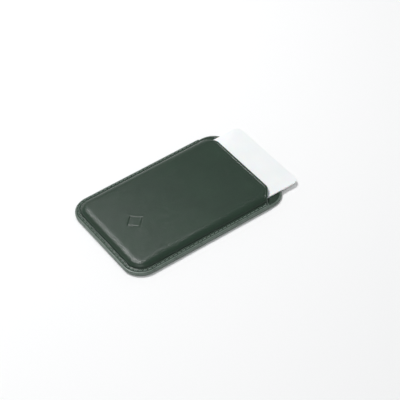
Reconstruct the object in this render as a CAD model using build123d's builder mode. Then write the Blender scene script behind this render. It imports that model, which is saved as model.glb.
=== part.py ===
from build123d import *
import math
import os

# Magnetic leather card holder, in millimetres.
# Origin: centre of the magnet ring, on the flat face that lies against the phone.
# +Z points away from the phone, +Y points out of the pocket's mouth.

# Outline of the finished holder, edge dressing included
panel_width = 65.5
panel_length = 96.4
corner_radius = 11.0
edge_paint_thickness = 0.35

# Stack of layers, from the phone outwards
back_thickness = 0.6
board_thickness = 0.8
floor_thickness = 0.2
front_thickness = 0.7
lining_thickness = 0.2
holder_height = 4.85

# Moulded pocket: a steep wall, then a gentle crown up to the flat top
wall_foot_inset = 2.95
wall_height = 1.8
wall_lean = 25.0
crown_slope = 10.6
shoulder_fillet = 1.2

# Mouth of the pocket
mouth_setback = 7.0
mouth_corner_run = 11.25
mouth_corner_points = [(3.5, -1.6), (6.7, -4.5)]
mouth_corner_drop = 6.0
mouth_corner_end_slope = -0.25
mouth_paint_thickness = 0.15
lining_setback = 0.6

# Seam
seam_inset = 1.6
seam_end_gap = 1.0
stitch_pitch = 2.54
needle_thread_diameter = 0.4
bobbin_thread_diameter = 0.3
thread_clearance = 0.03
stitch_groove_depth = 0.25
stitch_groove_slack = 0.24
lock_gap = 0.1
stitch_bend = 0.55

# Push window in the back, for the thumb
window_length = 30.0
window_width = 13.0
window_paint_thickness = 0.15

# Magnets and their steel shields
ring_outer_diameter = 54.0
ring_inner_diameter = 46.0
ring_magnet_count = 18
ring_magnet_gap = 0.3
bar_magnet_width = 5.0
bar_magnet_length = 13.0
bar_magnet_distance = 36.4
magnet_thickness = 0.4
shield_thickness = 0.2
film_thickness = 0.1
seat_clearance = 0.1

# Card, ID-1 size
card_length = 85.6
card_width = 53.98
card_thickness = 0.76
card_corner_radius = 3.18
card_floor_gap = 0.2
card_side_shift = 0.3
card_out_of_mouth = 16.7

# Heights of the faces between the layers
back_top = back_thickness
board_top = back_top + board_thickness
floor_top = board_top + floor_thickness
flange_top = floor_top + front_thickness

# Places that follow from the sizes above
leather_width = panel_width - 2 * edge_paint_thickness
leather_length = panel_length - 2 * edge_paint_thickness
leather_radius = corner_radius - edge_paint_thickness
mouth_y = panel_length / 2 - mouth_setback
mouth_corner_x = panel_width / 2 - mouth_corner_run
shoulder_y = mouth_y - mouth_corner_drop
beyond = panel_length
tolerance = 0.01

# The edge dressing stops short of both faces, and its outer corners are rounded
edge_paint_step = edge_paint_thickness / 3
edge_paint_rounding = edge_paint_thickness * 0.8

card_end_y = mouth_y + card_out_of_mouth

seam_x = panel_width / 2 - seam_inset
seam_bottom = -panel_length / 2 + seam_inset
seam_end_y = shoulder_y - seam_end_gap
seam_radius = corner_radius - seam_inset

with BuildLine() as seam_line:
    FilletPolyline(
        (-seam_x, seam_end_y),
        (-seam_x, seam_bottom),
        (seam_x, seam_bottom),
        (seam_x, seam_end_y),
        radius=seam_radius,
    )
seam = seam_line.wires()[0]
stitch_count = round(seam.length / stitch_pitch)
seam_holes = [seam.position_at(index / stitch_count) for index in range(stitch_count + 1)]
leg_offset = needle_thread_diameter / 2 + thread_clearance / 2
hole_radius = leg_offset + needle_thread_diameter / 2 + thread_clearance


def leather_outline():
    """Outline of a full layer, inside the edge dressing."""
    RectangleRounded(leather_width, leather_length, leather_radius)


def needle_holes():
    """The awl holes of the seam, cut out of a layer's sketch."""
    with Locations(*seam_holes):
        Circle(hole_radius, mode=Mode.SUBTRACT)


def window_outline(margin=0.0, mode=Mode.SUBTRACT):
    """The push window, with its long side along the card's travel."""
    SlotOverall(window_length + 2 * margin, window_width + 2 * margin, rotation=90, mode=mode)


def magnet_plan(clearance=0.0):
    """The magnet ring and the alignment bar below it, seen from the front."""
    Circle(ring_outer_diameter / 2 + clearance)
    Circle(ring_inner_diameter / 2 - clearance, mode=Mode.SUBTRACT)
    with Locations((0, -bar_magnet_distance)):
        Rectangle(bar_magnet_width + 2 * clearance, bar_magnet_length + 2 * clearance)


def seam_groove(plane, thread_diameter, depth):
    """A shallow channel along the seam, in which the stitches lie below the leather's face."""
    with BuildPart(mode=Mode.PRIVATE) as groove:
        with BuildSketch(plane):
            trace(seam_line.line, line_width=thread_diameter + stitch_groove_slack)
        extrude(amount=depth)
    return groove.part


def moulded_form(depth):
    """The block under the moulded front, its surface sunk by depth below the outer skin."""
    lean = math.tan(math.radians(wall_lean))
    slope = math.tan(math.radians(crown_slope))
    wall_shift = depth / math.cos(math.radians(wall_lean))
    crown_shift = depth / math.cos(math.radians(crown_slope))
    break_drop = (crown_shift - wall_shift * slope) / (1 - lean * slope)
    break_z = flange_top + wall_height - break_drop
    foot_inset = wall_foot_inset + wall_shift - (flange_top - floor_top) * lean
    break_inset = foot_inset + (break_z - floor_top) * lean
    with BuildPart(mode=Mode.PRIVATE) as form:
        with BuildSketch(Plane.XY.offset(floor_top)):
            pocket_plan(foot_inset)
        extrude(amount=break_z - floor_top, taper=wall_lean)
        with BuildSketch(Plane.XY.offset(break_z)):
            pocket_plan(break_inset)
        extrude(amount=holder_height - depth - break_z, taper=90 - crown_slope)
        rim = form.edges().filter_by_position(Axis.Z, break_z - tolerance, break_z + tolerance)
        inner_turn = shoulder_fillet - depth / 2
        fillet(rim, radius=inner_turn)
    return form.part


def pocket_plan(inset):
    """Plan of the pocket: it follows the outline at the bottom and runs out past the mouth."""
    length = panel_length + beyond
    with Locations((0, beyond / 2)):
        RectangleRounded(panel_width - 2 * inset, length - 2 * inset, corner_radius - inset)


def beyond_mouth(advance=0.0):
    """Everything past the front panel's edge, or past that edge moved out by advance."""
    edge_y = mouth_y + advance
    corner = [(mouth_corner_x, edge_y)]
    corner += [(mouth_corner_x + run, edge_y + drop) for run, drop in mouth_corner_points]
    corner += [(panel_width / 2, edge_y - mouth_corner_drop)]
    side = panel_width / 2 + beyond
    side_y = corner[-1][1]
    with BuildPart(mode=Mode.PRIVATE) as block:
        with BuildSketch(Plane.XY.offset(floor_top)):
            with BuildLine():
                right = Spline(*corner, tangents=[(1, 0), (1, mouth_corner_end_slope)])
                left = mirror(right, about=Plane.YZ)
                Line((-mouth_corner_x, edge_y), (mouth_corner_x, edge_y))
                Polyline(
                    (panel_width / 2, side_y),
                    (side, side_y),
                    (side, 2 * beyond),
                    (-side, 2 * beyond),
                    (-side, side_y),
                    (-panel_width / 2, side_y),
                )
            make_face()
        extrude(amount=holder_height)
    return block.part


def edge_ring(top):
    """Band of dressing round the whole outline, rounded on its outer corners."""
    with BuildPart(mode=Mode.PRIVATE) as ring:
        with BuildSketch(Plane.XY.offset(edge_paint_step)):
            RectangleRounded(panel_width, panel_length, corner_radius)
            RectangleRounded(leather_width, leather_length, leather_radius, mode=Mode.SUBTRACT)
        extrude(amount=top - 2 * edge_paint_step)
        upper = ring.faces().sort_by(Axis.Z)[-1].outer_wire().edges()
        lower = ring.faces().sort_by(Axis.Z)[0].outer_wire().edges()
        fillet(upper + lower, radius=edge_paint_rounding)
    return ring.part


def stitch(diameter, run_z, leg_z):
    """One stitch: a short run of thread with a leg down each of its two holes."""
    leg_x = seam.length / stitch_count / 2 - leg_offset
    with BuildPart(mode=Mode.PRIVATE) as piece:
        with BuildLine(Plane.XZ) as path:
            FilletPolyline(
                (-leg_x, leg_z),
                (-leg_x, run_z),
                (leg_x, run_z),
                (leg_x, leg_z),
                radius=diameter * stitch_bend,
            )
        with BuildSketch(Plane.XY.offset(leg_z)):
            with Locations((-leg_x, 0)):
                Circle(diameter / 2)
        sweep(path=path.wires()[0])
    return piece.part


def stitch_places():
    """One place per stitch: halfway between two holes, turned along the line between them."""
    places = []
    for start, end in zip(seam_holes, seam_holes[1:]):
        middle = (start + end) / 2
        places.append(Plane(origin=middle, x_dir=end - start, z_dir=(0, 0, 1)).location)
    return places


# Phone-side leather
with BuildPart() as back_leather:
    with BuildSketch():
        leather_outline()
        needle_holes()
        window_outline(window_paint_thickness)
    extrude(amount=back_thickness)
    back_groove_depth = bobbin_thread_diameter + 2 * thread_clearance
    add(seam_groove(Plane.XY, bobbin_thread_diameter, back_groove_depth), mode=Mode.SUBTRACT)

# Stiffening board, with seats for the magnets in its phone side
with BuildPart() as carrier_board:
    with BuildSketch(Plane.XY.offset(back_top)):
        leather_outline()
        needle_holes()
        window_outline(window_paint_thickness)
    extrude(amount=board_thickness)
    with BuildSketch(Plane.XY.offset(back_top)):
        magnet_plan(seat_clearance)
    extrude(amount=film_thickness + magnet_thickness + shield_thickness, mode=Mode.SUBTRACT)

# Adhesive film that holds the magnets to the leather
with BuildPart() as magnet_film:
    with BuildSketch(Plane.XY.offset(back_top)):
        magnet_plan()
    extrude(amount=film_thickness)

magnet_bottom = back_top + film_thickness
shield_bottom = magnet_bottom + magnet_thickness

with BuildPart() as ring_magnets:
    with BuildSketch(Plane.XY.offset(magnet_bottom)):
        Circle(ring_outer_diameter / 2)
        Circle(ring_inner_diameter / 2, mode=Mode.SUBTRACT)
        with PolarLocations(ring_outer_diameter / 2, ring_magnet_count):
            Rectangle(ring_outer_diameter / 2, ring_magnet_gap, mode=Mode.SUBTRACT)
    extrude(amount=magnet_thickness)

with BuildPart() as alignment_magnet:
    with BuildSketch(Plane.XY.offset(magnet_bottom)):
        with Locations((0, -bar_magnet_distance)):
            Rectangle(bar_magnet_width, bar_magnet_length)
    extrude(amount=magnet_thickness)

# Steel shields, which keep the field away from the card's stripe
with BuildPart() as ring_shield:
    with BuildSketch(Plane.XY.offset(shield_bottom)):
        Circle(ring_outer_diameter / 2)
        Circle(ring_inner_diameter / 2, mode=Mode.SUBTRACT)
    extrude(amount=shield_thickness)

with BuildPart() as alignment_shield:
    with BuildSketch(Plane.XY.offset(shield_bottom)):
        with Locations((0, -bar_magnet_distance)):
            Rectangle(bar_magnet_width, bar_magnet_length)
    extrude(amount=shield_thickness)

# Lining on which the card slides
with BuildPart() as pocket_floor:
    with BuildSketch(Plane.XY.offset(board_top)):
        leather_outline()
        needle_holes()
        window_outline(window_paint_thickness)
    extrude(amount=floor_thickness)

# Moulded front, before its mouth is trimmed
with BuildPart() as front_blank:
    with BuildSketch(Plane.XY.offset(floor_top)):
        leather_outline()
        needle_holes()
    extrude(amount=front_thickness)
    add(moulded_form(0))
    add(moulded_form(front_thickness), mode=Mode.SUBTRACT)
    needle_plane = Plane.XY.offset(flange_top - stitch_groove_depth)
    add(seam_groove(needle_plane, needle_thread_diameter, front_thickness), mode=Mode.SUBTRACT)

with BuildPart() as front_leather:
    add(front_blank.part)
    add(beyond_mouth(), mode=Mode.SUBTRACT)

with BuildPart() as mouth_edge_paint:
    add(front_blank.part)
    add(beyond_mouth(), mode=Mode.INTERSECT)
    add(beyond_mouth(mouth_paint_thickness), mode=Mode.SUBTRACT)

with BuildPart() as front_lining:
    add(moulded_form(front_thickness))
    add(moulded_form(front_thickness + lining_thickness), mode=Mode.SUBTRACT)
    add(beyond_mouth(-lining_setback), mode=Mode.SUBTRACT)

# Dressing on the cut edges
front_edge_ring = edge_ring(flange_top) - beyond_mouth()
with BuildPart() as outer_edge_paint:
    add(edge_ring(floor_top))
    add(front_edge_ring)

with BuildPart() as window_edge_paint:
    with BuildSketch(Plane.XY.offset(window_paint_thickness)):
        window_outline(window_paint_thickness, mode=Mode.ADD)
        window_outline()
    extrude(amount=floor_top - 2 * window_paint_thickness)

# Lockstitch seam: the two threads meet halfway through the stack
lock_z = flange_top / 2
needle_run_z = flange_top - stitch_groove_depth + needle_thread_diameter / 2
bobbin_run_z = bobbin_thread_diameter / 2 + thread_clearance
needle_stitch = stitch(needle_thread_diameter, needle_run_z, lock_z + lock_gap / 2)
bobbin_stitch = stitch(bobbin_thread_diameter, bobbin_run_z, lock_z - lock_gap / 2)

with BuildPart() as needle_thread:
    with Locations(*stitch_places()):
        add(needle_stitch)

with BuildPart() as bobbin_thread:
    with Locations(*stitch_places()):
        add(bobbin_stitch)

# The card, part of the way out
with BuildPart() as card:
    with BuildSketch(Plane.XY.offset(floor_top + card_floor_gap)):
        with Locations((card_side_shift, card_end_y - card_length / 2)):
            RectangleRounded(card_width, card_length, card_corner_radius)
    extrude(amount=card_thickness)

back_leather.part.label = "back_leather"
carrier_board.part.label = "carrier_board"
magnet_film.part.label = "magnet_film"
ring_magnets.part.label = "ring_magnets"
alignment_magnet.part.label = "alignment_magnet"
ring_shield.part.label = "ring_shield"
alignment_shield.part.label = "alignment_shield"
pocket_floor.part.label = "pocket_floor"
front_leather.part.label = "front_leather"
front_lining.part.label = "front_lining"
outer_edge_paint.part.label = "outer_edge_paint"
mouth_edge_paint.part.label = "mouth_edge_paint"
window_edge_paint.part.label = "window_edge_paint"
needle_thread.part.label = "needle_thread"
bobbin_thread.part.label = "bobbin_thread"
card.part.label = "card"

os.makedirs("parts", exist_ok=True)
export_step(back_leather.part, "parts/back_leather.step")
export_step(carrier_board.part, "parts/carrier_board.step")
export_step(magnet_film.part, "parts/magnet_film.step")
export_step(ring_magnets.part, "parts/ring_magnets.step")
export_step(alignment_magnet.part, "parts/alignment_magnet.step")
export_step(ring_shield.part, "parts/ring_shield.step")
export_step(alignment_shield.part, "parts/alignment_shield.step")
export_step(pocket_floor.part, "parts/pocket_floor.step")
export_step(front_leather.part, "parts/front_leather.step")
export_step(front_lining.part, "parts/front_lining.step")
export_step(outer_edge_paint.part, "parts/outer_edge_paint.step")
export_step(mouth_edge_paint.part, "parts/mouth_edge_paint.step")
export_step(window_edge_paint.part, "parts/window_edge_paint.step")
export_step(needle_thread.part, "parts/needle_thread.step")
export_step(bobbin_thread.part, "parts/bobbin_thread.step")
export_step(card.part, "parts/card.step")

print("stitches:", stitch_count)
print("card end inside the pocket, below the mouth:", round(card_length - card_out_of_mouth, 2))
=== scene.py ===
# %% [markdown]
# # A leather card holder, modelled and finished around its CAD frame
# The CAD frame gives every layer its size and place. Here each visible piece is modelled again as leather,
# thread, edge dressing or card, with the softness that flat CAD layers don't have, and gets its material.
# Lengths in this lesson are written in millimetres and turned into Blender's metres by MM.

# %% Load the frame
import math

import bmesh
import bpy
from mathutils import Matrix, Vector
from mathutils.kdtree import KDTree


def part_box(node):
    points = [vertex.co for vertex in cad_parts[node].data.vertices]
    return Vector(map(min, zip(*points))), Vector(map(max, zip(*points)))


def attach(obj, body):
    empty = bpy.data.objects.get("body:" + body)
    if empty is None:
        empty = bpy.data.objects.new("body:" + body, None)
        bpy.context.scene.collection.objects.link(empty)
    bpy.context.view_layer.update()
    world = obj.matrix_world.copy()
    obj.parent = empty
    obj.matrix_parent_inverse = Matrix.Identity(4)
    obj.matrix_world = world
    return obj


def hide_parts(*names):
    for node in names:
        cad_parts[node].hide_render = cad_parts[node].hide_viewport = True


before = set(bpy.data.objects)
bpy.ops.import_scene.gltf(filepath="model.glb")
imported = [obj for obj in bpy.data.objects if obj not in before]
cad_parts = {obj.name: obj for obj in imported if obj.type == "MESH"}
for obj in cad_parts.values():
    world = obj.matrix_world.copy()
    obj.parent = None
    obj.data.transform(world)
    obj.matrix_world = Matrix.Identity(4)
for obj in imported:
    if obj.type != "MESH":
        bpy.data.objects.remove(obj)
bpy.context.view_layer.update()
MM = 0.001
print("CAD nodes:", sorted(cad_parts))

# %% [markdown]
# ## The sizes that the frame gives
# A node's box says where its lowest and highest corners are, so the outline, the heights of the layers, the
# mouth and the seam are read from the frame and never typed again. What a box can't say, such as how far a
# corner is rounded, is a named size of its own.

# %% Sizes
outline_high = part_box("outer_edge_paint")[1]
half_width = outline_high.x / MM
half_length = outline_high.y / MM
corner_radius = 11.0
back_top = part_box("back_leather")[1].z / MM
floor_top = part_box("pocket_floor")[1].z / MM
holder_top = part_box("front_leather")[1].z / MM
front_layer = 0.7
flange_top = floor_top + front_layer
mouth_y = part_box("front_leather")[1].y / MM
shoulder_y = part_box("mouth_edge_paint")[0].y / MM
shoulder_width = 11.25
mouth_half = half_width - shoulder_width
seam_low, seam_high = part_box("needle_thread")
thread_radius = 0.2
bare_before_shoulder = 1.0
seam_half = seam_high.x / MM - thread_radius
seam_bottom = seam_low.y / MM + thread_radius
seam_end = shoulder_y - bare_before_shoulder
seam_inset = half_width - seam_half
seam_radius = corner_radius - seam_inset
window_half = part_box("window_edge_paint")[1].x / MM
window_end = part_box("window_edge_paint")[1].y / MM
print("outline", half_width, half_length, "heights", back_top, floor_top, flange_top, holder_top)

# %% [markdown]
# ## Helpers for modelling by hand, in code
# Blender's operators act on whatever is selected, and the loaded frame arrives selected. So each piece starts
# by clearing the selection, and `pick` selects faces, edges or points by a test on their place or normal. The
# steps that every piece goes through, such as thickening, cutting and smoothing, get a name each.

# %% Selection helpers
def leave_edit():
    bpy.ops.object.mode_set(mode="OBJECT")


def clear_selection():
    if bpy.context.object and bpy.context.object.mode == "EDIT":
        leave_edit()
    bpy.ops.object.select_all(action="DESELECT")


def only(piece):
    """Makes one piece the selected and active one, in object mode."""
    clear_selection()
    piece.select_set(True)
    bpy.context.view_layer.objects.active = piece


def edit(piece):
    only(piece)
    bpy.ops.object.mode_set(mode="EDIT")


def point_outwards():
    """Turns every face of the mesh in edit mode to look out of it."""
    bpy.ops.mesh.select_all(action="SELECT")
    bpy.ops.mesh.normals_make_consistent(inside=False)


def pick(kind, test):
    """Selects the parts of the mesh in edit mode that pass a test, and nothing else."""
    bpy.ops.mesh.select_mode(type=kind)
    bpy.ops.mesh.select_all(action="DESELECT")
    mesh = bmesh.from_edit_mesh(bpy.context.object.data)
    parts = {"VERT": mesh.verts, "EDGE": mesh.edges, "FACE": mesh.faces}[kind]
    for part in parts:
        if test(part):
            part.select_set(True)
    mesh.select_flush_mode()
    bmesh.update_edit_mesh(bpy.context.object.data)


def edge_middle(edge):
    return (edge.verts[0].co + edge.verts[1].co) / 2


def apply_modifier(piece, name, kind, **settings):
    only(piece)
    modifier = piece.modifiers.new(name, kind)
    for key, value in settings.items():
        setattr(modifier, key, value)
    bpy.ops.object.modifier_apply(modifier=modifier.name)


def thicken(piece, thickness):
    """Gives a skin its thickness, inwards from its faces."""
    apply_modifier(piece, "thickness", "SOLIDIFY", thickness=thickness * MM, offset=-1)


def cut(piece, cutter, operation):
    """Cuts or joins a piece with another one, which is used up."""
    apply_modifier(piece, "cut", "BOOLEAN", object=cutter, operation=operation, solver="MANIFOLD")
    bpy.data.objects.remove(cutter, do_unlink=True)


def smooth(piece, degrees=40):
    """Smooths all but the sharp edges of a finished piece, and prints its size."""
    only(piece)
    bpy.ops.object.shade_smooth_by_angle(angle=math.radians(degrees))
    print(piece.name, "has", len(piece.data.polygons), "faces")


# %% [markdown]
# ## Outlines that step inwards
# Every layer of the holder follows the same rounded outline. A layer starts as one flat face: a plane whose
# four corners are rounded by a vertex bevel. The face is then inset in small steps, and each step is moved up
# or down. A list of (distance in from the outline, height) points is all that a curved section needs.

# %% Outline and profile helpers
def outline_face(name, inset, z, far_end=None, spacing=0.32):
    """A flat face inside the holder's outline, its points evenly spaced along the sides."""
    far_end = half_length if far_end is None else far_end
    radius = corner_radius - inset
    width = 2 * (half_width - inset)
    length = far_end + half_length - 2 * inset
    return rounded_face(name, width, length, (far_end - half_length) / 2, radius, z, spacing)


def rounded_face(name, width, length, centre_y, radius, z, spacing):
    clear_selection()
    bpy.ops.mesh.primitive_plane_add(size=1, location=(0, centre_y * MM, z * MM))
    piece = bpy.context.object
    piece.name = name
    piece.scale = (width * MM, length * MM, 1)
    bpy.ops.object.transform_apply(location=True, rotation=True, scale=True)
    bpy.ops.object.mode_set(mode="EDIT")
    bpy.ops.mesh.select_all(action="SELECT")
    corner_steps = round(radius * math.pi / 2 / spacing)
    bpy.ops.mesh.bevel(offset=radius * MM, segments=corner_steps, profile=0.5, affect="VERTICES")
    for axis, way, side in ((0, 1, width), (0, -1, width), (1, 1, length), (1, -1, length)):
        straight = side - 2 * radius
        pick("EDGE", lambda edge: edge.calc_length() > 0.9 * straight * MM
             and abs((edge.verts[0].co - edge.verts[1].co)[axis]) > 0.9 * straight * MM
             and way * (edge_middle(edge)[1 - axis] - (centre_y * MM if axis == 0 else 0)) > 0)
        bpy.ops.mesh.subdivide(number_cuts=max(1, round(straight / spacing) - 1))
    bpy.ops.mesh.select_mode(type="FACE")
    bpy.ops.mesh.select_all(action="SELECT")
    return piece


def climb(profile):
    """Takes the selected face through a profile: in by an inset, then up or down."""
    for (start, low), (end, high) in zip(profile, profile[1:]):
        bpy.ops.mesh.inset(thickness=max(end - start, 0.002) * MM)
        bpy.ops.transform.translate(value=(0, 0, (high - low) * MM))


def rounded(start, corner, end, steps=5):
    """Points of a smooth turn from start to end that a corner point pulls on."""
    points = []
    for index in range(steps + 1):
        t = index / steps
        points.append(tuple((1 - t) ** 2 * a + 2 * t * (1 - t) * b + t * t * c
                            for a, b, c in zip(start, corner, end)))
    return points


def depth_inside(x, y):
    """Distance of a point in from the holder's outline, in mm."""
    side = Vector((abs(x) - half_width + corner_radius, abs(y) - half_length + corner_radius))
    if side.x > 0 and side.y > 0:
        return corner_radius - side.length
    return corner_radius - max(side.x, side.y)


print("rounding takes", round(-depth_inside(half_width, half_length), 2), "mm off each corner")

# %% [markdown]
# ## Where the seam runs
# The seam is a U: down the left side, round the bottom and up the right side. The stitches are evenly spaced
# along it, so one function turns a distance along the seam into a place. The pitch is ten stitches to the
# inch, as a common pricking wheel marks it, and the count is rounded so that the last hole falls at the end.

# %% Seam line
seam_side = seam_end - (seam_bottom + seam_radius)
seam_arc = seam_radius * math.pi / 2
seam_base = 2 * (seam_half - seam_radius)
seam_length = 2 * seam_side + 2 * seam_arc + seam_base
wanted_pitch = 2.54
stitch_count = round(seam_length / wanted_pitch)
stitch_pitch = seam_length / stitch_count


def seam_point(distance):
    """Place (x, y) on the seam at a distance from its left end."""
    if distance > seam_length / 2:
        x, y = seam_point(seam_length - distance)
        return -x, y
    if distance < seam_side:
        return -seam_half, seam_end - distance
    turn = (distance - seam_side) / seam_radius
    if turn < math.pi / 2:
        x = -seam_half + seam_radius * (1 - math.cos(turn))
        y = seam_bottom + seam_radius * (1 - math.sin(turn))
        return x, y
    return -seam_half + seam_radius + distance - seam_side - seam_arc, seam_bottom


needle_holes = KDTree(stitch_count + 1)
for index in range(stitch_count + 1):
    needle_holes.insert((*seam_point(index * stitch_pitch), 0), index)
needle_holes.balance()
print("seam", round(seam_length, 1), "mm, stitch pitch", round(stitch_pitch, 3), "mm")

# %% [markdown]
# ## The cutter behind the mouth
# The front panel stops short of the back panel. Its edge is straight across the raised pocket and falls back
# in a soft shoulder at each side. The edge is the front row of a grid whose points are moved back by a
# smooth step, and the grid is extruded to a block that trims every layer that ends at the mouth.

# %% Mouth cutter
# The shoulder has fallen back fully a little before it reaches the side.
shoulder_run = shoulder_width / 1.12
cutter_columns = 400
cutter_height = 12


def step_up(value, low, high):
    """0 below low, 1 above high and a smooth rise between them."""
    t = min(1.0, max(0.0, (value - low) / (high - low)))
    return t * t * (3 - 2 * t)


def mouth_line(x, advance=0.0):
    """Where the front panel's edge lies, at a distance x from the middle."""
    fallen = step_up(abs(x), mouth_half, mouth_half + shoulder_run)
    return mouth_y + advance - (mouth_y - shoulder_y) * fallen


def mouth_cutter(name, advance=0.0, low=-1.0, reach=40.0):
    """A block whose near side follows the mouth line, moved out by advance; reach is its length."""
    clear_selection()
    across = 3 * half_width
    bpy.ops.mesh.primitive_grid_add(x_subdivisions=cutter_columns, y_subdivisions=1, size=1,
                                    location=(0, 0.5 * MM, low * MM))
    block = bpy.context.object
    block.name = name
    block.scale = (across * MM, MM, 1)
    bpy.ops.object.transform_apply(location=True, rotation=True, scale=True)
    for vertex in block.data.vertices:
        front = vertex.co.y < 0.5 * MM
        edge = mouth_line(vertex.co.x / MM, advance)
        vertex.co.y = (edge if front else edge + reach) * MM
    bpy.ops.object.mode_set(mode="EDIT")
    bpy.ops.mesh.select_all(action="SELECT")
    bpy.ops.mesh.extrude_region_move(TRANSFORM_OT_translate={"value": (0, 0, cutter_height * MM)})
    point_outwards()
    leave_edit()
    return block


middle_edge = mouth_line(0)
side_edge = mouth_line(half_width)
print("mouth edge at y", round(middle_edge, 2), "in the middle and", round(side_edge, 2), "at the side")

# %% [markdown]
# ## The moulded front panel
# The real panel is one piece of leather, wetted and pressed over a block, so its section is a steep wall that
# eases over into a long gentle crown: an arc of an ellipse. The flange outside it is flat, rolls off at the
# cut edge and is pulled down by the stitches. The plateau inside is filled with a grid, so that the crease
# behind the mouth has points to press down.

# %% Profile of the moulded front
foot_inset = 3.05
foot_curve = 0.35
crown_run = 5.0
crown_rise = 2.45
cut_edge_inset = 0.45
flange_roll = 0.35
roll_end = 1.05
ring_spacing = 0.13
crown_margin = 1.2
grid_spacing = 0.7
row_spacing = 0.22
mould_overrun = 20
blank_end = half_length + mould_overrun


def crown_profile(steps=18):
    """The wall and crown, from just above the flange up to the plateau: a quarter of an ellipse."""
    points = []
    for index in range(steps + 1):
        angle = math.pi / 2 * index / steps
        run = crown_run * (1 - math.cos(angle))
        rise = crown_rise * (1 - math.sin(angle))
        points.append((foot_inset + run, holder_top - rise))
    return points


def flange_profile(face, edge):
    """A rolled edge and a flat flange with close points across the seam."""
    roll = rounded((cut_edge_inset, edge), (cut_edge_inset + 0.05, face), (roll_end, face), 4)
    return roll + [(roll_end + 0.07 + ring * ring_spacing, face) for ring in range(11)]


def front_profile():
    """Flange, a soft turn at the wall's foot, and the crown."""
    crown = crown_profile()
    foot = rounded((foot_inset - foot_curve, flange_top), (foot_inset, flange_top), crown[1], 5)
    return flange_profile(flange_top, flange_top - flange_roll) + foot + crown[2:]


def fill_inside(inset, z, far_end, spacing):
    """Fills the open middle of a skin with a grid and joins it to the skin's last loop."""
    side = half_width - inset
    low = -half_length + inset
    high = far_end - inset
    middle = (0, (low + high) / 2 * MM, z * MM)
    bpy.ops.mesh.delete(type="FACE")
    bpy.ops.mesh.primitive_grid_add(x_subdivisions=round(2 * side / spacing),
                                    y_subdivisions=round((high - low) / spacing), size=1, location=middle)
    bpy.ops.transform.resize(value=(2 * side * MM, (high - low) * MM, 1), center_override=middle)
    pick("EDGE", lambda edge: edge.is_boundary and abs(edge_middle(edge).z - z * MM) < 0.001 * MM)
    bpy.ops.mesh.fill(use_beauty=True)


def slice_rows(first, last, spacing):
    """Cuts the whole mesh along close rows across the holder, to give a curved press enough points."""
    for step in range(round((last - first) / spacing) + 1):
        bpy.ops.mesh.select_all(action="SELECT")
        bpy.ops.mesh.bisect(plane_co=(0, (first + step * spacing) * MM, 0), plane_no=(0, 1, 0))


def face_towards(way):
    """Makes an open skin's faces all look one way: up for way = 1, down for way = -1."""
    point_outwards()
    mesh = bmesh.from_edit_mesh(bpy.context.object.data)
    if sum(face.normal.z * face.calc_area() for face in mesh.faces) * way < 0:
        bpy.ops.mesh.flip_normals()


front_panel = outline_face("front_panel", cut_edge_inset, flange_top - flange_roll, far_end=blank_end)
climb(front_profile())
fill_inside(foot_inset + crown_run + crown_margin, holder_top, blank_end, grid_spacing)
slice_rows(shoulder_y - 2, mouth_y + 0.4, row_spacing)
face_towards(1)
leave_edit()
print("front panel skin:", len(front_panel.data.polygons), "faces")

# %% [markdown]
# ## Pressing the leather
# Thread, creasing iron and brass die all do the same thing to leather: they push it down softly. Each press
# is a formula of a vertex's place. The sum of what they do is also kept in the mesh as an attribute, so that
# the leather's material can burnish what was pressed and darken it with painted shade.

# %% Presses
mark_centre = Vector((0.5, -27.0))
mark_half = 4.6
mark_depth = 0.13
crease_inset = 1.45
crease_depth = 0.13
mouth_roll = 0.2
groove_width = 0.42
dimple_width = 0.36
swell_distance = 0.85
swell_width = 0.35


def bell(distance, width):
    """1 in the middle of a press and 0 away from it."""
    return math.exp(-(distance / width) ** 2)


def seam_press(x, y, groove, dimple, swell):
    """Depth of the groove along the seam and of the dimples at its holes, with a swell beside them."""
    aside = depth_inside(x, y) - seam_inset
    if abs(aside) > 2 or y > seam_end + 2:
        return 0.0
    near = math.hypot(aside, max(0.0, y - seam_end))
    hole = needle_holes.find((x, y, 0))[2]
    rise = swell * bell(near - swell_distance, swell_width) * min(1.0, hole / 1.2)
    return groove * bell(near, groove_width) + dimple * bell(hole, dimple_width) - rise


def mouth_press(x, y):
    """Depth of the creased line behind the mouth, and of the roll from there over to the cut edge."""
    slope = (mouth_line(abs(x) + 0.1) - mouth_line(abs(x))) / 0.1
    behind = (mouth_line(x) - y) / math.hypot(1, slope)
    if behind > 3:
        return 0.0
    roll = mouth_roll * (1 - step_up(behind, -0.1, 0.8)) ** 1.5
    ridge = 0.03 * bell(behind - 0.9, 0.25)
    return crease_depth * bell(behind - crease_inset, 0.22) + roll - ridge


def mark_press(x, y):
    """Depth of the debossed mark, a plain diamond drawn with one narrow line."""
    away = abs(abs(x - mark_centre.x) + abs(y - mark_centre.y) - mark_half) / math.sqrt(2)
    return mark_depth * (1 - step_up(away, 0.1, 0.42))


def press(piece, sign, depth_at):
    """Moves a skin's vertices against its face by depth_at(x, y), and records it as an attribute."""
    record = piece.data.attributes.new("pressed", "FLOAT", "POINT")
    for vertex in piece.data.vertices:
        depth = depth_at(vertex.co.x / MM, vertex.co.y / MM)
        vertex.co.z -= sign * depth * MM
        record.data[vertex.index].value = max(0.0, depth)


def refine(piece, centre, half, cuts):
    """Subdivides the faces round one place."""
    edit(piece)
    pick("FACE", lambda face: max(abs(face.calc_center_median().x / MM - centre.x),
                                  abs(face.calc_center_median().y / MM - centre.y)) < half)
    bpy.ops.mesh.subdivide(number_cuts=cuts)
    leave_edit()


print("0.3 mm beside its middle, a groove is", round(bell(0.3, groove_width), 2), "of its full depth")

# %% [markdown]
# ## Pressing the front panel
# The line of the mark is much finer than the grid it is pressed into, so the faces around it are subdivided
# first. Everywhere else the skin already has close points where a press needs them: rings across the seam
# and rows behind the mouth.

# %% Press the front panel
def front_press(x, y):
    return seam_press(x, y, groove=0.18, dimple=0.34, swell=0.05) + mouth_press(x, y) + mark_press(x, y)


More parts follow.
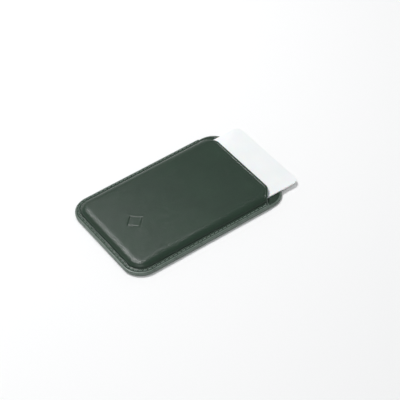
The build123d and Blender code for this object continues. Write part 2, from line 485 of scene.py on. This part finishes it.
refine(front_panel, mark_centre, mark_half + 1.2, 4)
press(front_panel, 1, front_press)
deepest = max(item.value for item in front_panel.data.attributes["pressed"].data)
print("pressed the seam, the crease and the mark, up to", round(deepest, 2), "mm deep")

# %% [markdown]
# ## Giving the skin its thickness, and cutting the mouth
# Solidify grows the leather inwards from the skin. Then the blank is trimmed at the mouth, the way the cutter
# trims the moulded leather after it dries. Two offcuts come from the same skin: the edge dressing on the cut
# face, and the lining glued inside, so the skin is copied for them before it is trimmed.

# %% Front panel
front_leather_thickness = 0.66


def copy_of(piece, name):
    """A second piece with its own mesh."""
    only(piece)
    bpy.ops.object.duplicate()
    twin = bpy.context.object
    twin.name = name
    return twin


mouth_bead = copy_of(front_panel, "mouth_bead")
front_lining = copy_of(front_panel, "front_lining_cloth")

thicken(front_panel, front_leather_thickness)
cut(front_panel, mouth_cutter("past_mouth"), "DIFFERENCE")
smooth(front_panel)

# %% [markdown]
# ## The dressing at the mouth
# On the real edge the paint wraps a hair over the face, so it shows as a thin light line along the mouth. The
# band is cut from a copy of the skin that is a little thicker than the leather, and follows its every bend. A
# voxel remesh then gives it even points, and a few rounds of smoothing let its corners run the way wet paint
# does.

# %% Mouth dressing
dressing_thickness = 0.75
dressing_proud = 0.03
voxel = 0.1


def fatten(piece, distance):
    """Moves every face out along its normal."""
    edit(piece)
    bpy.ops.mesh.select_all(action="SELECT")
    bpy.ops.transform.shrink_fatten(value=distance * MM)
    leave_edit()


fatten(mouth_bead, dressing_proud)
thicken(mouth_bead, dressing_thickness)
cut(mouth_bead, mouth_cutter("mouth_band", advance=-0.3, reach=0.42), "INTERSECT")
apply_modifier(mouth_bead, "even", "REMESH", mode="VOXEL", voxel_size=voxel * MM)
apply_modifier(mouth_bead, "rounding", "SMOOTH", factor=0.5, iterations=6)
smooth(mouth_bead)

# %% [markdown]
# ## The lining
# A thin cloth is glued inside the raised pocket only, so the flange's faces are deleted from the copy of the
# skin. What is left moves in by the leather's thickness. Cloth this thin hides small dents, so a lighter mesh
# is enough for it.

# %% Lining
lining_drop = 0.68
lining_thickness = 0.2


def on_flange(face):
    middle = face.calc_center_median() / MM
    return depth_inside(middle.x, min(middle.y, mouth_y)) < foot_inset - 0.1


edit(front_lining)
pick("FACE", on_flange)
bpy.ops.mesh.delete(type="FACE")
leave_edit()
fatten(front_lining, -lining_drop)
apply_modifier(front_lining, "thin", "DECIMATE", ratio=0.35)
thicken(front_lining, lining_thickness)
cut(front_lining, mouth_cutter("inside_mouth", advance=-0.6), "DIFFERENCE")
smooth(front_lining)

# %% [markdown]
# ## The pocket bed
# The card slides on a flat layer with a rolled edge, made the same way as the front but with no mould. It is
# bare leather at the two corners past the mouth, where it has the same creased line as the front. The push
# window is cut through it with a block of the window's own outline.

# %% Pocket bed
bed_thickness = 0.28
bed_crease_depth = 0.1
flat_rings = [3.2, 6.0]
flat_middle = 8.0


def flat_skin(name, face, edge, way):
    """A flat layer of leather with a rolled cut edge, seen from above (way 1) or below (way -1)."""
    skin = outline_face(name, cut_edge_inset, edge)
    climb(flange_profile(face, edge) + [(inset, face) for inset in flat_rings])
    fill_inside(flat_middle, face, half_length, grid_spacing)
    face_towards(way)
    leave_edit()
    return skin


def window_cutter(name):
    """A block with the push window's round-ended outline, to cut it out of a layer."""
    block = rounded_face(name, 2 * window_half, 2 * window_end, 0, window_half - 0.02, z=-1, spacing=0.5)
    bpy.ops.mesh.extrude_region_move(TRANSFORM_OT_translate={"value": (0, 0, cutter_height / 2 * MM)})
    point_outwards()
    leave_edit()
    return block


def bed_press(x, y):
    """The creased line round the pocket bed's two bare corners."""
    past_shoulder = step_up(y, shoulder_y - 1, shoulder_y + 1)
    return bed_crease_depth * bell(depth_inside(x, y) - crease_inset, 0.2) * past_shoulder


pocket_bed = flat_skin("pocket_bed", floor_top, floor_top - bed_thickness, 1)
press(pocket_bed, 1, bed_press)
thicken(pocket_bed, bed_thickness)
cut(pocket_bed, window_cutter("bed_window"), "DIFFERENCE")
smooth(pocket_bed)

# %% [markdown]
# ## The back panel
# This layer faces the phone, so its profile steps down. The magnets are glued behind thin leather, which
# takes a faint print of them: a ring and a bar, seen only as two soft steps. The step is drawn by a formula,
# and the faces near it are subdivided so that they can follow it.

# %% Back panel
back_thickness = 0.5
back_roll = 0.3
magnet_depth = 0.09
ring_width = 4.0
print_softness = 0.6
ring_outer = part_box("ring_magnets")[1].x / MM
ring_inner = ring_outer - ring_width
bar_low, bar_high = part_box("alignment_magnet")
bar_middle = (bar_low + bar_high) / 2 / MM
bar_half = (bar_high - bar_low) / 2 / MM


def magnet_print(x, y):
    """The leather sinks a little beside the magnets, and stays proud where they back it."""
    radius = math.hypot(x, y)
    inside_ring = step_up(radius, ring_inner - print_softness, ring_inner)
    outside_ring = step_up(radius, ring_outer, ring_outer + print_softness)
    aside = max(abs(x) - bar_high.x / MM, abs(y - bar_middle.y) - bar_half.y)
    on_bar = 1 - step_up(aside, 0, print_softness)
    return magnet_depth * (1 - max(inside_ring * (1 - outside_ring), on_bar))


def near_ring(face):
    middle = face.calc_center_median() / MM
    return abs(middle.z) < 0.01 and ring_inner - 1.5 < middle.length < ring_outer + 1.5


def back_press(x, y):
    return seam_press(x, y, groove=0.14, dimple=0.2, swell=0.0) + magnet_print(x, y)


back_panel = flat_skin("back_panel", 0.0, back_roll, -1)
edit(back_panel)
pick("FACE", near_ring)
bpy.ops.mesh.subdivide(number_cuts=1)
leave_edit()
press(back_panel, -1, back_press)
thicken(back_panel, back_thickness)
cut(back_panel, window_cutter("back_window"), "DIFFERENCE")
smooth(back_panel)

# %% [markdown]
# ## Beads of edge dressing
# The dressing is a thick paint laid on the cut edge in two or three coats, so it bulges. A bead is two skins
# that start from one outline at mid height, one stepping up and one stepping down, and meet again inside.
# Merging the points that coincide closes it to a ring. The tall bead follows the seam and stops at the mouth;
# a lower one runs round the corners that the front panel leaves bare.

# %% Edge beads
def bead(name, base, upper, lower):
    """A closed ring of dressing; base makes the starting face, upper and lower take it inwards."""
    halves = []
    for profile in (upper, lower):
        half = base(name, profile[0][1])
        climb(profile)
        bpy.ops.mesh.delete(type="FACE")
        leave_edit()
        halves.append(half)
    only(halves[0])
    halves[1].select_set(True)
    bpy.ops.object.join()
    bpy.ops.object.mode_set(mode="EDIT")
    bpy.ops.mesh.select_all(action="SELECT")
    bpy.ops.mesh.remove_doubles(threshold=0.001 * MM)
    bpy.ops.mesh.normals_make_consistent(inside=False)
    leave_edit()
    return bpy.context.object


def bead_profile(middle, face, width, bulge):
    """From the widest point at mid height, round over to the face, and down again inside."""
    turn = rounded((0.0, middle + (face - middle) * 0.25), (0.0, face), (bulge, face), 8)
    return [(0.0, middle)] + turn + [(width, face), (width + 0.05, middle)]


def outer_base(name, z):
    return outline_face(name, 0.0, z)


def corner_base(name, z):
    """The lower bead starts a hair further in, so that the two never share a face."""
    return outline_face(name, 0.02, z)


tall_width = 0.95
tall_bulge = 0.62
tall_middle = flange_top / 2
below_layers = -5
tall_bead = bead("outer_bead", outer_base,
                 bead_profile(tall_middle, flange_top + 0.02, tall_width, tall_bulge),
                 bead_profile(tall_middle, 0.03, tall_width, tall_bulge))
cut(tall_bead, mouth_cutter("over_corners", low=below_layers), "DIFFERENCE")

low_width = 0.85
low_bulge = 0.55
low_middle = floor_top / 2
low_bead = bead("corner_bead", corner_base,
                bead_profile(low_middle, floor_top + 0.03, low_width, low_bulge),
                bead_profile(low_middle, 0.05, low_width, low_bulge))
cut(low_bead, mouth_cutter("trim", advance=-1.0, low=below_layers), "INTERSECT")
cut(tall_bead, low_bead, "UNION")
smooth(tall_bead)

# %% [markdown]
# ## The bead in the push window
# The window's edge gets a thinner coat of the same dressing. It is the same kind of ring, grown from the
# window's outline, and nearly level with the layers, so that neither the thumb nor the card catches on it.

# %% Window bead
window_margin = 0.25
window_radius = window_half + window_margin


def window_base(name, z):
    length = 2 * (window_end + window_margin)
    return rounded_face(name, 2 * window_radius, length, 0, window_radius - 0.02, z, spacing=0.4)


def window_profile(face, inwards, turn_end):
    """The dressing's section at the window: a flat bank, a rounded lip, and back to mid height."""
    lip = rounded((0.12, face), (0.5, face), (0.5, turn_end), 5)
    return [(0.0, floor_top / 2), (0.02, face + inwards * 0.01)] + lip + [(0.52, floor_top / 2)]


window_bead = bead("window_bead", window_base,
                   window_profile(floor_top + 0.03, -1, floor_top - 0.45), window_profile(0.11, 1, 0.5))
smooth(window_bead)

# %% [markdown]
# ## The seam's two threads
# The thread is bonded polyester: three plies twisted round each other. One stitch is three small discs,
# extruded together in short steps. After each step the end is turned about the thread's own line, which
# twists the plies.

# %% One stitch
plies = 3
ply_offset = 0.52
ply_radius = 0.55
hole_gap = 0.2


def ply_discs(name, radius, start):
    """Three discs side by side, standing across the thread's line."""
    discs = []
    for index in range(plies):
        clear_selection()
        angle = index * math.tau / plies
        offset = radius * ply_offset
        place = (start[0], start[1] + math.cos(angle) * offset, start[2] + math.sin(angle) * offset)
        bpy.ops.mesh.primitive_circle_add(vertices=8, radius=radius * ply_radius * MM, fill_type="NGON",
                                          location=[value * MM for value in place],
                                          rotation=(0, math.pi / 2, 0))
        discs.append(bpy.context.object)
    for disc in discs:
        disc.select_set(True)
    bpy.ops.object.join()
    piece = bpy.context.object
    piece.name = name
    bpy.ops.object.transform_apply(location=True, rotation=True, scale=True)
    return piece


def stitch(name, radius, height, dive, way, turns=1.5, steps=14):
    """One stitch along x: it rises from one hole, lies on the leather and dives into the next."""
    reach = stitch_pitch / 2 - hole_gap
    line = []
    for index in range(steps + 1):
        t = -1 + 2 * index / steps
        along = math.sin(t * math.pi / 2)
        line.append((along * reach, 0, height - way * dive * abs(along) ** 7))
    piece = ply_discs(name, radius, line[0])
    bpy.ops.object.mode_set(mode="EDIT")
    bpy.ops.mesh.select_all(action="SELECT")
    for start, end in zip(line, line[1:]):
        step = [(b - a) * MM for a, b in zip(start, end)]
        bpy.ops.mesh.extrude_region_move(TRANSFORM_OT_translate={"value": step})
        bpy.ops.transform.rotate(value=math.tau * turns / steps, orient_axis="X",
                                 center_override=[value * MM for value in end])
    point_outwards()
    leave_edit()
    return piece


# %% [markdown]
# ## Sewing the two rows
# A row is that one stitch, copied to every pair of holes and joined into one mesh. The front thread is drawn
# half again as thick as the frame's, so that its stitches still show from arm's length. The back thread keeps
# within its own layer.

# %% Sew the seam
front_thread = 0.3
back_thread = 0.19


def sew(name, pattern):
    """Copies the pattern stitch to every pair of holes and joins the row."""
    row = []
    for index in range(stitch_count):
        first = seam_point(index * stitch_pitch)
        second = seam_point((index + 1) * stitch_pitch)
        twin = copy_of(pattern, name)
        twin.rotation_euler.z = math.atan2(second[1] - first[1], second[0] - first[0])
        twin.location = ((first[0] + second[0]) / 2 * MM, (first[1] + second[1]) / 2 * MM, 0)
        row.append(twin)
    clear_selection()
    for twin in row:
        twin.select_set(True)
    bpy.context.view_layer.objects.active = row[0]
    bpy.ops.object.join()
    bpy.ops.object.transform_apply(location=True, rotation=True, scale=True)
    seam = bpy.context.object
    seam.name = name
    bpy.data.objects.remove(pattern, do_unlink=True)
    smooth(seam, 60)
    return seam


front_seam = sew("front_stitches", stitch("front_stitch", front_thread, flange_top + 0.06, dive=0.62, way=1))
back_seam = sew("back_stitches", stitch("back_stitch", back_thread, 0.2, dive=0.5, way=-1))
print(stitch_count, "stitches in each row")

# %% [markdown]
# ## The card
# A blank ID-1 card is punched from laminated PVC: flat, sharp to the eye, with only a hair's breadth of
# rounding where the punch dragged the edge.

# %% Card
card_low, card_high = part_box("card")
card_size = (card_high - card_low) / MM
card_middle = (card_high + card_low) / 2 / MM
card_corner = 3.18
dragged_edge = 0.06
blank_card = rounded_face("blank_card", card_size.x, card_size.y, card_middle.y, card_corner,
                          card_low.z / MM, spacing=0.3)
bpy.ops.mesh.extrude_region_move(TRANSFORM_OT_translate={"value": (0, 0, card_high.z - card_low.z)})
point_outwards()
bpy.ops.mesh.select_all(action="DESELECT")
bpy.ops.mesh.edges_select_sharp(sharpness=math.radians(60))
bpy.ops.mesh.bevel(offset=dragged_edge * MM, segments=3)
leave_edit()
blank_card.location.x = card_middle.x * MM
only(blank_card)
bpy.ops.object.transform_apply(location=True, rotation=True, scale=True)
smooth(blank_card)
print("card", [round(value, 2) for value in card_size])

# %% [markdown]
# ## Materials: a small kit
# `add` puts one node in a material with its settings and links, so a recipe reads from top to bottom. Colours
# are written as the hex values a colour picker shows, and `hex_colour` turns them into the linear values that
# light is computed in. Patterns take Object coordinates, which for these pieces are metres in the holder's
# own frame, so a scale of 1000 means one cycle in a millimetre.

# %% Material helpers
def hex_colour(code):
    """The linear colour of an sRGB hex code such as "405060"."""
    channels = [int(code[index:index + 2], 16) / 255 for index in (0, 2, 4)]
    linear = [c / 12.92 if c <= 0.04045 else ((c + 0.055) / 1.055) ** 2.4 for c in channels]
    return (*linear, 1.0)


def add(tree, kind, inputs=None, **settings):
    """Adds one shader node; an input is a value or another node's output."""
    made = tree.nodes.new("ShaderNode" + kind)
    for name, value in settings.items():
        setattr(made, name, value)
    for name, value in (inputs or {}).items():
        if isinstance(value, bpy.types.NodeSocket):
            tree.links.new(value, made.inputs[name])
        else:
            made.inputs[name].default_value = value
    return made


def new_material(name):
    """An empty material, its node tree, and the place on the piece that its patterns follow."""
    material = bpy.data.materials.new(name)
    material.use_nodes = True
    tree = material.node_tree
    tree.nodes.clear()
    return material, tree, add(tree, "TexCoord").outputs["Object"]


def noise(tree, place, size, detail=3.0, distortion=0.0):
    """Noise whose blobs are about `size` millimetres across, from 0 to 1."""
    made = add(tree, "TexNoise", {"Vector": place, "Scale": 1 / (size * MM), "Detail": detail,
                                  "Roughness": 0.55, "Distortion": distortion})
    return made.outputs["Fac"]


def cells(tree, place, size, feature="F1"):
    """Distance inside cells that are about `size` millimetres across."""
    made = add(tree, "TexVoronoi", {"Vector": place, "Scale": 1 / (size * MM)}, feature=feature)
    return made.outputs["Distance"]


def reading(tree, value, low, high, to_low=0.0, to_high=1.0):
    """Maps a value from one range to another, clamped."""
    return add(tree, "MapRange", {"Value": value, "From Min": low, "From Max": high,
                                  "To Min": to_low, "To Max": to_high}).outputs["Result"]


def mix(tree, share, first, second):
    """Mixes two colours, which are this node's inputs 6 and 7."""
    made = add(tree, "Mix", {"Factor": share, 6: first, 7: second}, data_type="RGBA")
    return made.outputs[2]


def calc(tree, operation, first, second=0.0):
    return add(tree, "Math", {0: first, 1: second}, operation=operation).outputs[0]


def bump(tree, height, depth, normal=None):
    """Bump whose full height range is `depth` millimetres."""
    inputs = {"Height": height, "Distance": depth * MM, "Strength": 1.0}
    if normal is not None:
        inputs["Normal"] = normal
    return add(tree, "Bump", inputs).outputs["Normal"]


def finish_material(tree, inputs):
    surface = add(tree, "BsdfPrincipled", inputs)
    add(tree, "OutputMaterial", {"Surface": surface.outputs["BSDF"]})


print("a colour such as 808080 is", round(hex_colour("808080")[0], 3), "in linear light")

# %% [markdown]
# ## Leather
# Smooth-finished calf, dyed through and sealed with a thin satin topcoat. Its look comes from three sizes of
# pattern: a fine pebble grain about 0.4 mm across, tiny follicle pores, and broad cloudy variation from the
# hide. The grain's valleys carry painted shade. Where a tool or a thread pressed it, the grain is flattened
# and smoother, and painted shade darkens it. The dyed fibres under the topcoat hardly shine, so nearly all
# the gloss comes from the coat, which draws a clear line on every rim.

# %% Leather material
grain_size = 0.42
grain_depth = 0.02
pore_spacing = 0.9
hide_clouds = 14.0


def make_leather():
    """Dyed and coated calf: deep green, with a broad highlight that breaks up over the grain."""
    material, tree, place = new_material("leather: dyed calf, satin topcoat")
    clouds = noise(tree, place, hide_clouds, detail=4.0)
    fine_clouds = noise(tree, place, 1.6, detail=3.0)
    # The noise pushes the grain's cells out of line, so that they don't look drawn with a ruler.
    push = add(tree, "TexNoise", {"Vector": place, "Scale": 1100.0}).outputs["Color"]
    warped = add(tree, "Mix", {"Factor": 0.00012, 4: place, 5: push},
                 data_type="VECTOR", clamp_factor=False).outputs[1]
    pebble = cells(tree, warped, grain_size, feature="SMOOTH_F1")
    crease = cells(tree, warped, grain_size, feature="DISTANCE_TO_EDGE")
    pore = reading(tree, cells(tree, place, pore_spacing), 0.0, 0.11, 1.0, 0.0)
    pressed = add(tree, "Attribute", attribute_name="pressed").outputs["Fac"]
    burnish_and_painted_shade = reading(tree, pressed, 0.02, 0.2)

    tone = mix(tree, reading(tree, clouds, 0.3, 0.7), hex_colour("213428"), hex_colour("263b2d"))
    tone = mix(tree, reading(tree, fine_clouds, 0.35, 0.75, 0.0, 0.3), tone, hex_colour("213428"))
    # Darker colour in the grain's valleys: painted shade.
    tone = mix(tree, reading(tree, crease, 0.0, 0.12, 0.35, 0.0), tone, hex_colour("16201a"))
    # Pressed places are darkened in colour: painted shade in the seam's groove and holes, the crease and the
    # mark.
    tone = mix(tree, calc(tree, "MULTIPLY", burnish_and_painted_shade, 0.5), tone, hex_colour("131b16"))

    height = calc(tree, "SUBTRACT", reading(tree, crease, 0.0, 0.22), calc(tree, "MULTIPLY", pebble, 0.6))
    height = calc(tree, "SUBTRACT", height, calc(tree, "MULTIPLY", pore, 0.6))
    height = calc(tree, "MULTIPLY", height, reading(tree, burnish_and_painted_shade, 0.0, 1.0, 1.0, 0.35))
    normal = bump(tree, height, grain_depth)
    normal = bump(tree, noise(tree, place, 5.0, detail=2.0), 0.06, normal=normal)
    worn = reading(tree, clouds, 0.3, 0.7, 0.5, 0.58)
    finish_material(tree, {
        "Base Color": tone, "Normal": normal,
        "Roughness": calc(tree, "SUBTRACT", worn, calc(tree, "MULTIPLY", burnish_and_painted_shade, 0.14)),
        "IOR": 1.47, "Specular IOR Level": 0.1,
        "Coat Weight": 0.7, "Coat Roughness": 0.15, "Coat IOR": 1.5, "Coat Normal": normal})
    return material


leather = make_leather()
print(leather.name, "grain", grain_size, "mm")

# %% [markdown]
# ## Edge dressing, thread, lining and card
# The dressing is flexible paint: smooth and a little glossy, with slow waves from the brush and the sanding
# between coats. Thread gets fine fibres and a soft sheen; real fibres are far too fine to see, so they are
# drawn 0.07 mm thick. The lining is a microfibre nap, which has no gloss at all. The card is matte PVC, in
# which light travels a little way, so its edge never looks like painted metal.

# %% Soft materials
def make_edge_paint():
    """Polyurethane paint, brushed on and sanded between coats: a smooth edge that draws a line of light."""
    material, tree, place = new_material("edge dressing: satin polyurethane paint")
    brushed = noise(tree, place, 2.4, detail=2.0)
    specks = noise(tree, place, 0.25, detail=2.0)
    tone = mix(tree, reading(tree, brushed, 0.3, 0.7), hex_colour("55635a"), hex_colour("616f66"))
    normal = bump(tree, brushed, 0.05)
    normal = bump(tree, specks, 0.006, normal=normal)
    finish_material(tree, {"Base Color": tone, "Normal": normal, "IOR": 1.5,
                           "Roughness": reading(tree, brushed, 0.3, 0.7, 0.26, 0.34)})
    return material


def make_thread():
    """Bonded polyester under wax: paler than the leather where it catches light, dark between the plies."""
    material, tree, place = new_material("thread: waxed bonded polyester, three plies")
    fibres = noise(tree, place, 0.07, detail=2.0, distortion=0.6)
    wax = noise(tree, place, 0.9)
    tone = mix(tree, reading(tree, fibres, 0.3, 0.75), hex_colour("4b5e53"), hex_colour("84988b"))
    tone = mix(tree, reading(tree, wax, 0.45, 0.8, 0.0, 0.3), tone, hex_colour("95a89c"))
    finish_material(tree, {"Base Color": tone, "Normal": bump(tree, fibres, 0.02), "IOR": 1.5,
                           "Roughness": 0.48, "Sheen Weight": 0.25, "Sheen Roughness": 0.4})
    return material


def make_lining():
    """Brushed microfibre: no gloss, and paler where the nap was stroked over."""
    material, tree, place = new_material("lining: dyed microfibre, short nap")
    nap = noise(tree, place, 0.12, detail=4.0)
    stroked = noise(tree, place, 6.0, detail=3.0, distortion=0.8)
    tone = mix(tree, reading(tree, nap, 0.3, 0.7), hex_colour("242b27"), hex_colour("38423c"))
    tone = mix(tree, reading(tree, stroked, 0.4, 0.7, 0.0, 0.35), tone, hex_colour("414c45"))
    finish_material(tree, {"Base Color": tone, "Normal": bump(tree, nap, 0.04), "Roughness": 0.9,
                           "Sheen Weight": 0.5, "Sheen Roughness": 0.35})
    return material


def make_card_plastic():
    """Sheets of PVC, laminated between satin plates: a clean white with a soft, even gloss."""
    material, tree, place = new_material("card: laminated white PVC, matte")
    rolled = noise(tree, place, 0.18, detail=3.0)
    clouds = noise(tree, place, 18.0, detail=2.0)
    streaks = add(tree, "Mapping", {"Vector": place, "Rotation": (0.0, 0.0, 0.5),
                                    "Scale": (90.0, 2400.0, 90.0)}).outputs["Vector"]
    scratched = add(tree, "TexNoise", {"Vector": streaks, "Scale": 1.0, "Detail": 2.0}).outputs["Fac"]
    scuffs = reading(tree, scratched, 0.62, 0.75)
    tone = mix(tree, reading(tree, clouds, 0.3, 0.7), hex_colour("eef1f1"), hex_colour("f3f5f5"))
    normal = bump(tree, rolled, 0.004)
    roughness = calc(tree, "SUBTRACT", 0.46, calc(tree, "MULTIPLY", scuffs, 0.06))
    finish_material(tree, {"Base Color": tone, "Normal": normal, "Roughness": roughness, "IOR": 1.53,
                           "Subsurface Weight": 0.15, "Subsurface Scale": 0.4 * MM})
    return material


edge_paint = make_edge_paint()
thread = make_thread()
lining = make_lining()
card_plastic = make_card_plastic()
print([material.name for material in (edge_paint, thread, lining, card_plastic)])

# %% [markdown]
# ## The parts that stay hidden
# Board, magnets, shields and film keep the frame's own shapes. They are inside the holder, but a closer look
# between the layers should still find pressed fibres in the board, satin nickel on the magnets, the rolling
# lines of the steel strip, and small bubbles under the film.

# %% Hidden materials
def make_board():
    """Fibres and resin pressed to a dark sheet: dull, with pale flecks where a fibre comes up."""
    material, tree, place = new_material("board: fibre-reinforced board, dyed black")
    fibres = noise(tree, place, 0.35, detail=5.0, distortion=1.2)
    flecks = reading(tree, cells(tree, place, 1.1), 0.0, 0.2, 1.0, 0.0)
    tone = mix(tree, reading(tree, fibres, 0.3, 0.7), hex_colour("2b2c2b"), hex_colour("3a3b3a"))
    tone = mix(tree, calc(tree, "MULTIPLY", flecks, 0.4), tone, hex_colour("4c4d4b"))
    finish_material(tree, {"Base Color": tone, "Normal": bump(tree, fibres, 0.05), "Roughness": 0.85})
    return material


def make_magnet():
    """Sintered magnet, plated in a barrel: warm grey metal with a blurred reflection."""
    material, tree, place = new_material("magnet: neodymium under bright nickel plating")
    plating = noise(tree, place, 0.15, detail=3.0)
    stains = noise(tree, place, 3.0)
    tone = mix(tree, reading(tree, stains, 0.4, 0.7), hex_colour("c9c4b8"), hex_colour("b5b0a6"))
    finish_material(tree, {"Base Color": tone, "Metallic": 1.0, "Normal": bump(tree, plating, 0.004),
                           "Roughness": reading(tree, stains, 0.3, 0.7, 0.22, 0.34)})
    return material


def make_steel():
    """Strip from a rolling mill: fine lines run one way and spread its reflections across them."""
    material, tree, place = new_material("shield: cold-rolled steel strip")
    lines = add(tree, "Mapping", {"Vector": place, "Scale": (6000.0, 150.0, 6000.0)}).outputs["Vector"]
    rolled = add(tree, "TexNoise", {"Vector": lines, "Scale": 1.0}).outputs["Fac"]
    tone = mix(tree, rolled, hex_colour("a3a5a6"), hex_colour("bfc1c2"))
    finish_material(tree, {"Base Color": tone, "Metallic": 1.0, "Normal": bump(tree, rolled, 0.005),
                           "Roughness": reading(tree, rolled, 0.3, 0.7, 0.3, 0.42)})
    return material


def make_film():
    """Acrylic adhesive on a carrier: yellowish and clear, with pale rings where air is caught."""
    material, tree, place = new_material("film: clear acrylic adhesive")
    bubbles = reading(tree, cells(tree, place, 2.2), 0.0, 0.18, 1.0, 0.0)
    tone = mix(tree, calc(tree, "MULTIPLY", bubbles, 0.5), hex_colour("cfc9b4"), hex_colour("e9e6da"))
    finish_material(tree, {"Base Color": tone, "Normal": bump(tree, bubbles, 0.03), "Roughness": 0.25,
                           "Transmission Weight": 0.3, "IOR": 1.47})
    return material


hidden = {"board": make_board(), "magnet": make_magnet(), "steel": make_steel(), "film": make_film()}
hidden_nodes = {"carrier_board": "board", "magnet_film": "film", "ring_magnets": "magnet",
                "alignment_magnet": "magnet", "ring_shield": "steel", "alignment_shield": "steel"}
for node_name, slot_name in hidden_nodes.items():
    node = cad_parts[node_name]
    node.data.materials.clear()
    node.data.materials.append(hidden[slot_name])
print("dressed", len(hidden_nodes), "hidden nodes")

# %% [markdown]
# ## Dressing the pieces and tying them to the frame
# Each piece gets its material and rides the body that carries it, and the CAD node it stands for is hidden.

# %% Ties
pieces = [
    (front_panel, leather, "leather", "holder", ["front_leather"]),
    (front_lining, lining, "lining", "holder", ["front_lining"]),
    (mouth_bead, edge_paint, "edge_paint", "holder", ["mouth_edge_paint"]),
    (tall_bead, edge_paint, "edge_paint", "holder", ["outer_edge_paint"]),
    (window_bead, edge_paint, "edge_paint", "holder", ["window_edge_paint"]),
    (pocket_bed, leather, "leather", "holder", ["pocket_floor"]),
    (back_panel, leather, "leather", "holder", ["back_leather"]),
    (front_seam, thread, "thread", "holder", ["needle_thread"]),
    (back_seam, thread, "thread", "holder", ["bobbin_thread"]),
    (blank_card, card_plastic, "card_plastic", "card", ["card"]),
]
for piece, material, slot_name, body, replaced in pieces:
    piece.data.materials.clear()
    piece.data.materials.append(material)
    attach(piece, body)
    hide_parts(*replaced)
    print(piece.name, "rides", body, "for", replaced[0])

# %% [markdown]
# ## Floor and light
# A pale seamless floor, as in a white product tent. The key hangs high above the holder and to its left: the
# rolled rim at the closed end mirrors it towards the viewer, and the flat front does not. A larger, weaker
# fill stands to the right and in front and brings out the leather's own green. The sky is bright near the
# horizon and dim above, so the walls catch light while the front stays deep.

# %% Stage
clear_selection()
floor_drop = 0.05
bpy.ops.mesh.primitive_plane_add(size=4.0, location=(0, 0, -floor_drop * MM))
floor = bpy.context.object
floor.name = "floor"
floor_material, tree, place = new_material("floor: matte white paper")
paper = noise(tree, place, 0.8)
white = mix(tree, paper, hex_colour("f4f4f4"), hex_colour("f8f8f8"))
finish_material(tree, {"Base Color": white, "Roughness": 0.9})
floor.data.materials.append(floor_material)

horizon_glow = (1.0, 1.0, 1.0, 1.0)
upper_glow = (0.27, 0.275, 0.28, 1.0)
world = bpy.data.worlds.new("tent")
world.use_nodes = True
sky = world.node_tree
steepness = add(sky, "SeparateXYZ", {"Vector": add(sky, "TexCoord").outputs["Generated"]}).outputs["Z"]
glow = mix(sky, reading(sky, steepness, 0.0, 0.4), horizon_glow, upper_glow)
sky.links.new(glow, sky.nodes["Background"].inputs["Color"])
sky.nodes["Background"].inputs["Strength"].default_value = 1.0
bpy.context.scene.world = world


def area_light(name, place, size, power):
    """A rectangular lamp in metres and watts, aimed at the holder's middle."""
    data = bpy.data.lights.new(name, "AREA")
    data.shape = "RECTANGLE"
    data.size, data.size_y = size
    data.energy = power
    lamp = bpy.data.objects.new(name, data)
    bpy.context.collection.objects.link(lamp)
    lamp.location = place
    lamp.rotation_euler = (-Vector(place)).to_track_quat("-Z", "Y").to_euler()
    return lamp


key = area_light("key", (-0.42, -0.03, 0.85), (0.24, 0.28), 6.3)
fill = area_light("fill", (0.35, -0.45, 0.75), (0.5, 0.4), 1.8)
print("lamps", [(lamp.name, round(lamp.location.length, 2), "m away") for lamp in (key, fill)])

# %% [markdown]
# ## Camera
# A long lens from about three quarters of a metre, held a little off level, so that the holder lies across
# the picture from lower left to upper right.

# %% Camera
aim = Vector((4.58, 10.45, 0.0)) * MM
distance = 770.1 * MM
azimuth = math.radians(58.9)
elevation = math.radians(44.5)
roll = math.radians(5.4)
towards = Vector((math.sin(azimuth) * math.cos(elevation), -math.cos(azimuth) * math.cos(elevation),
                  math.sin(elevation)))
lens_data = bpy.data.cameras.new("camera")
lens_data.lens = 132.66
lens_data.sensor_width = 36
camera = bpy.data.objects.new("camera", lens_data)
bpy.context.collection.objects.link(camera)
right = Vector((0, 0, 1)).cross(towards).normalized()
level_up = towards.cross(right)
up = level_up * math.cos(roll) + right * math.sin(roll)
side = up.cross(towards)
camera.matrix_world = (Matrix.Translation(aim + towards * distance)
                       @ Matrix((side, up, towards)).transposed().to_4x4())
bpy.context.scene.camera = camera
bpy.context.scene.view_settings.view_transform = "Standard"
print("camera", round(distance, 3), "m away, lens", round(lens_data.lens, 1), "mm")
